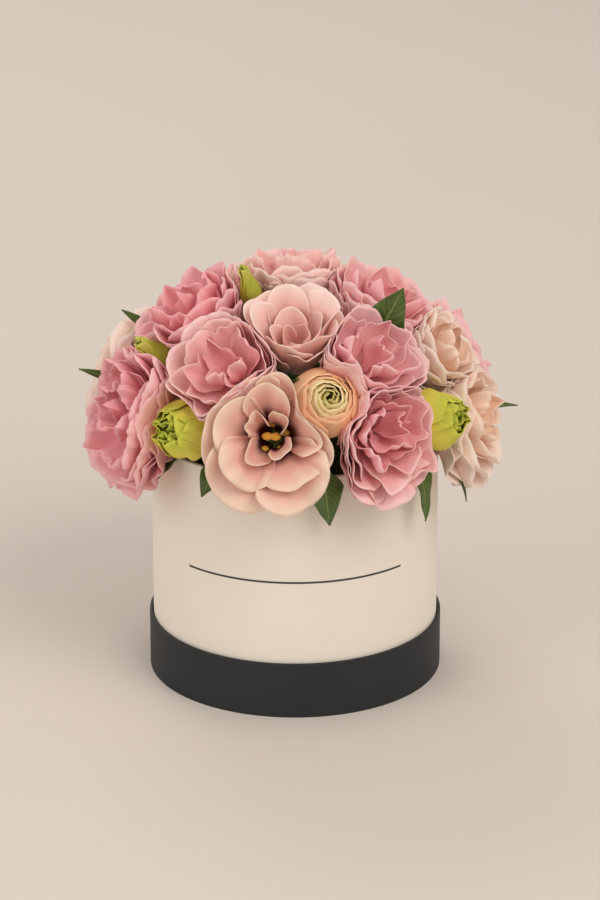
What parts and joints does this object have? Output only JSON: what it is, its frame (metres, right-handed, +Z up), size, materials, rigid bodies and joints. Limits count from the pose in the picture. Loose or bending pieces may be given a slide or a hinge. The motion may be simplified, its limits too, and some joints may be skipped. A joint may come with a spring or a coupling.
{
  "type": "flower box",
  "caption": "Round papered board box standing in its own upturned lid, with a lift-out insert of floral foam that holds a dome of ruffled blooms, buds and leaves.",
  "frame": {"origin": "centre of the lid's face that stands on the table", "axes": "+Z up along the box's axis, front of the bouquet towards -Y, +X to the right seen from the front"},
  "size_m": [0.2445, 0.239, 0.24],
  "materials": {
    "charcoal_paper": "matte, fine grain",
    "cream_paper": "matte, fine grain",
    "greyboard": "raw board",
    "liner_plastic": "satin",
    "floral_foam": "matte, crumbly",
    "stem_green": "satin",
    "leaf_green": "satin",
    "lime_petal": "soft",
    "cream_petal": "soft",
    "peach_petal": "soft",
    "pale_pink_petal": "soft",
    "pink_petal": "soft"
  },
  "bodies": {
    "lid": {"lid_floor_lining": "charcoal_paper", "lid_panel_board": "greyboard", "lid_panel_paper": "charcoal_paper", "lid_rim_board": "greyboard", "lid_side_paper": "charcoal_paper"},
    "box": {"box_back_seam": "cream_paper", "box_base_board": "greyboard", "box_base_lining": "cream_paper", "box_base_paper": "cream_paper", "box_side_paper": "cream_paper", "box_wall_board": "greyboard", "box_wall_lining": "cream_paper"},
    "bouquet": {"back_leaf": "leaf_green", "back_left_green_bud": "lime_petal", "back_left_leaf": "leaf_green", "back_left_peach_bloom": "peach_petal", "back_left_ruffled_bloom": "pink_petal", "back_open_bloom": "pale_pink_petal", "back_ranunculus": "cream_petal", "back_right_leaf": "leaf_green", "back_right_ranunculus": "cream_petal", "back_right_ruffled_bloom": "pink_petal", "calyxes": "stem_green", "centre_leaf": "leaf_green", "crown_cup_bloom": "pale_pink_petal", "far_left_leaf": "leaf_green", "far_right_leaf": "leaf_green", "floral_foam": "floral_foam", "front_leaf": "leaf_green", "front_open_bloom": "pale_pink_petal", "front_ranunculus": "cream_petal", "front_right_leaf": "leaf_green", "left_front_leaf": "leaf_green", "left_green_bud": "lime_petal", "left_low_leaf": "leaf_green", "left_ruffled_bloom": "pink_petal", "left_slim_bud": "lime_petal", "liner_pot": "liner_plastic", "lisianthus_stems": "stem_green", "lower_right_ruffled_bloom": "pink_petal", "mid_left_ruffled_bloom": "pink_petal", "mid_right_ruffled_bloom": "pink_petal", "ranunculus_stems": "stem_green", "right_curl_leaf": "leaf_green", "right_green_bud": "lime_petal", "right_lower_peach_bloom": "peach_petal", "right_upper_peach_bloom": "peach_petal", "slim_bud_stems": "stem_green", "top_pale_bloom": "peach_petal", "top_slim_bud": "lime_petal", "upper_left_leaf": "leaf_green", "upper_left_ruffled_bloom": "pink_petal", "upper_right_leaf": "leaf_green", "upper_right_ruffled_bloom": "pink_petal"}
  },
  "joints": [
    {"name": "box_lift", "type": "slide", "parent": "lid", "child": "box", "axis": [0, 0, 1], "range_m": [0, 0.06]},
    {"name": "insert_lift", "type": "slide", "parent": "box", "child": "bouquet", "axis": [0, 0, 1], "range_m": [0, 0.14]}
  ]
}
